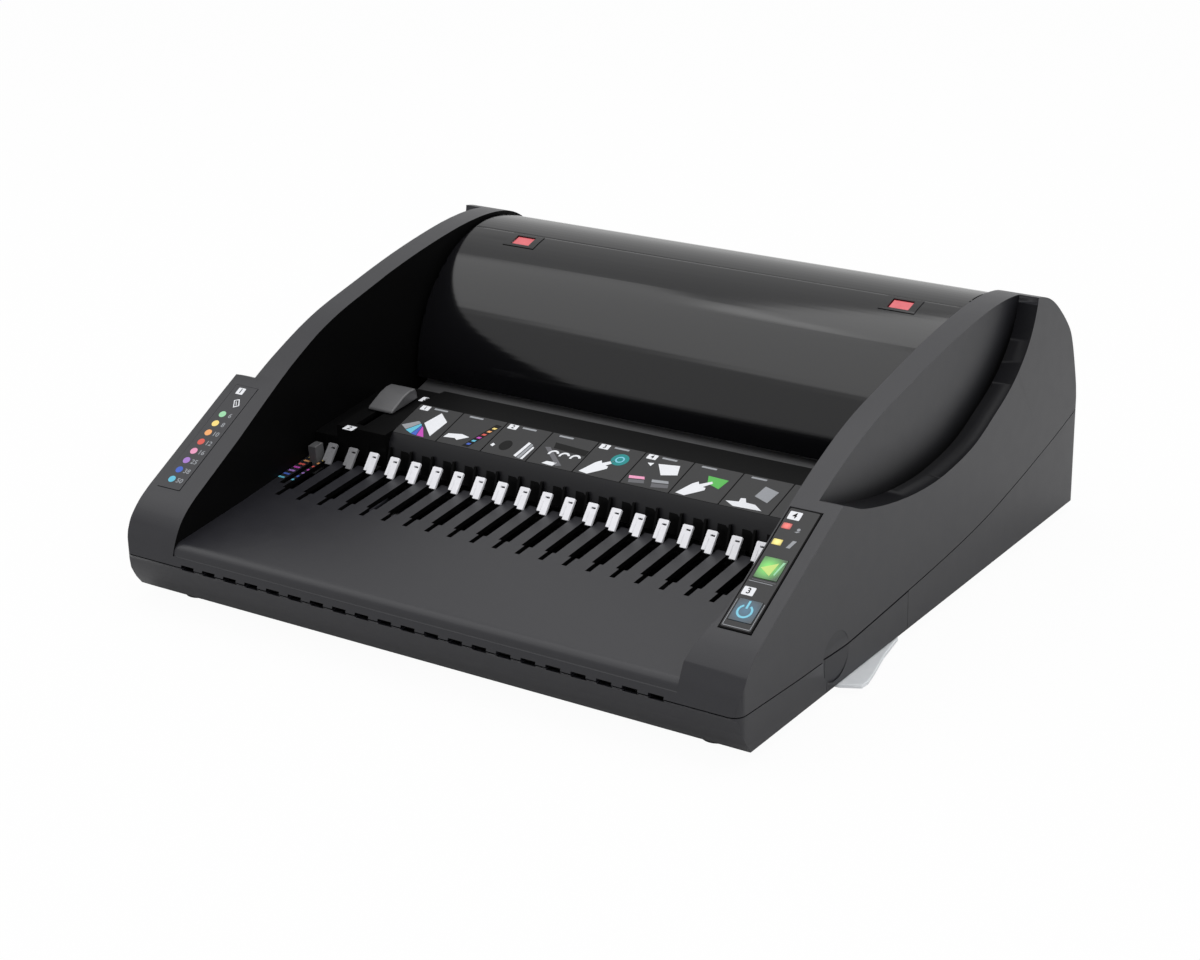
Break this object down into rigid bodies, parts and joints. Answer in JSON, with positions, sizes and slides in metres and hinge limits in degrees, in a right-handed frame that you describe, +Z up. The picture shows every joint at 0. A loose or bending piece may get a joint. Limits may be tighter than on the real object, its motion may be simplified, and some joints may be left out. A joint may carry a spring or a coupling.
{
  "type": "electric comb binding machine",
  "caption": "Desktop electric punch and comb binding machine: sloping comb deck with pull hooks between two curved arms, drum-shaped hinged lid over the paper slot, side waste drawer.",
  "frame": {"origin": "middle of the bounding box on the surface that the feet stand on", "axes": "+X to the user's right along the comb, +Y from the front lip to the rear, +Z up"},
  "size_m": [0.3844, 0.374, 0.1425],
  "materials": {
    "case_plastic": "fine matte moulding texture",
    "lid_plastic": "high gloss",
    "grey_plastic": "satin",
    "white_plastic": "satin",
    "pale_clear": "frosted, translucent",
    "red_clear": "clear red",
    "amber_clear": "clear amber",
    "printed_panel": "printed film with small pictograms",
    "green_button": "lit from behind",
    "blue_button": "lit ring on dark film",
    "steel": "ground",
    "plated_steel": "zinc plated sheet",
    "bronze": "sintered",
    "board": "solder mask",
    "rubber": "matte"
  },
  "bodies": {
    "case": {"base_pan": "case_plastic", "upper_case": "case_plastic", "console": "case_plastic", "rear_cover": "case_plastic", "inner_cover": "case_plastic", "hinge_pin_left": "steel", "hinge_pin_right": "steel", "instruction_panel": "printed_panel", "gauge_label": "printed_panel", "control_panel": "printed_panel", "lamp_yellow": "amber_clear", "lamp_red": "red_clear", "control_board": "board", "power_board": "board", "mains_inlet": "case_plastic", "lid_switch": "case_plastic", "guide_rod_left": "steel", "guide_rod_right": "steel", "rod_bracket_left": "plated_steel", "rod_bracket_right": "plated_steel", "die_plate_front": "plated_steel", "die_plate_rear": "plated_steel", "return_spring_left": "steel", "return_spring_right": "steel", "frame_left": "plated_steel", "frame_right": "plated_steel", "bush_left": "bronze", "bush_right": "bronze", "motor": "plated_steel", "motor_bracket": "plated_steel", "chip_chute": "case_plastic", "foot_front_left": "rubber", "foot_front_right": "rubber", "foot_rear_left": "rubber", "foot_rear_right": "rubber", "case_screw_front_left": "steel", "case_screw_front_right": "steel", "case_screw_rear_left": "steel", "case_screw_rear_right": "steel"},
    "lid": {"lid": "lid_plastic", "lid_window_left": "red_clear", "lid_window_right": "red_clear"},
    "comb_opener": {"hook_comb": "white_plastic", "hook_carriage": "plated_steel", "opener_knob": "grey_plastic"},
    "edge_guide": {"edge_guide": "grey_plastic"},
    "waste_drawer": {"waste_tray": "pale_clear", "drawer_front": "case_plastic"},
    "power_button": {"power_button": "blue_button"},
    "punch_button": {"punch_button": "green_button"},
    "camshaft": {"camshaft": "steel", "camshaft_gear": "steel"},
    "punch_comb": {"punch_comb": "steel"},
    "idler": {"idler_shaft": "steel", "idler_pinion": "steel", "idler_gear": "steel"},
    "motor_rotor": {"motor_pinion": "bronze"}
  },
  "joints": [
    {"name": "lid_hinge", "type": "hinge", "parent": "case", "child": "lid", "pos_m": [-0.00525, 0.15367, 0.11674], "axis": [-1, 0, 0], "range_deg": [0, 75]},
    {"name": "comb_opener_slide", "type": "slide", "parent": "case", "child": "comb_opener", "axis": [0, -0.9959, -0.091], "range_m": [0, 0.028]},
    {"name": "edge_guide_slide", "type": "slide", "parent": "case", "child": "edge_guide", "axis": [0, -0.9959, -0.091], "range_m": [0, 0.024]},
    {"name": "drawer_slide", "type": "slide", "parent": "case", "child": "waste_drawer", "axis": [1, 0, 0], "range_m": [0, 0.2]},
    {"name": "power_press", "type": "slide", "parent": "case", "child": "power_button", "axis": [0, 0.4741, -0.8805], "range_m": [0, 0.0008], "stiffness_N_per_m": 1500, "springref_m": -0.0004},
    {"name": "punch_press", "type": "slide", "parent": "case", "child": "punch_button", "axis": [0, 0.4741, -0.8805], "range_m": [0, 0.0008], "stiffness_N_per_m": 1500, "springref_m": -0.0004},
    {"name": "camshaft_turn", "type": "hinge", "parent": "case", "child": "camshaft", "pos_m": [-0.00525, 0.0411, 0.039], "axis": [1, 0, 0], "range_deg": [0, 180]},
    {"name": "punch_slide", "type": "slide", "parent": "case", "child": "punch_comb", "axis": [0, -1, 0], "range_m": [0, 0.008], "deforming": ["return_spring_left", "return_spring_right"]},
    {"name": "idler_turn", "type": "hinge", "parent": "case", "child": "idler", "pos_m": [0.14175, 0.0611, 0.039], "axis": [1, 0, 0], "range_deg": [-396, 0]},
    {"name": "motor_turn", "type": "hinge", "parent": "case", "child": "motor_rotor", "pos_m": [0.13575, 0.07872, 0.04541], "axis": [1, 0, 0], "range_deg": [0, 792]}
  ],
  "couplings": [
    {"joint": "camshaft_turn", "follows": "punch_slide", "rad_per_m": 392.7},
    {"joint": "idler_turn", "follows": "punch_slide", "rad_per_m": -863.94},
    {"joint": "motor_turn", "follows": "punch_slide", "rad_per_m": 1727.9}
  ]
}
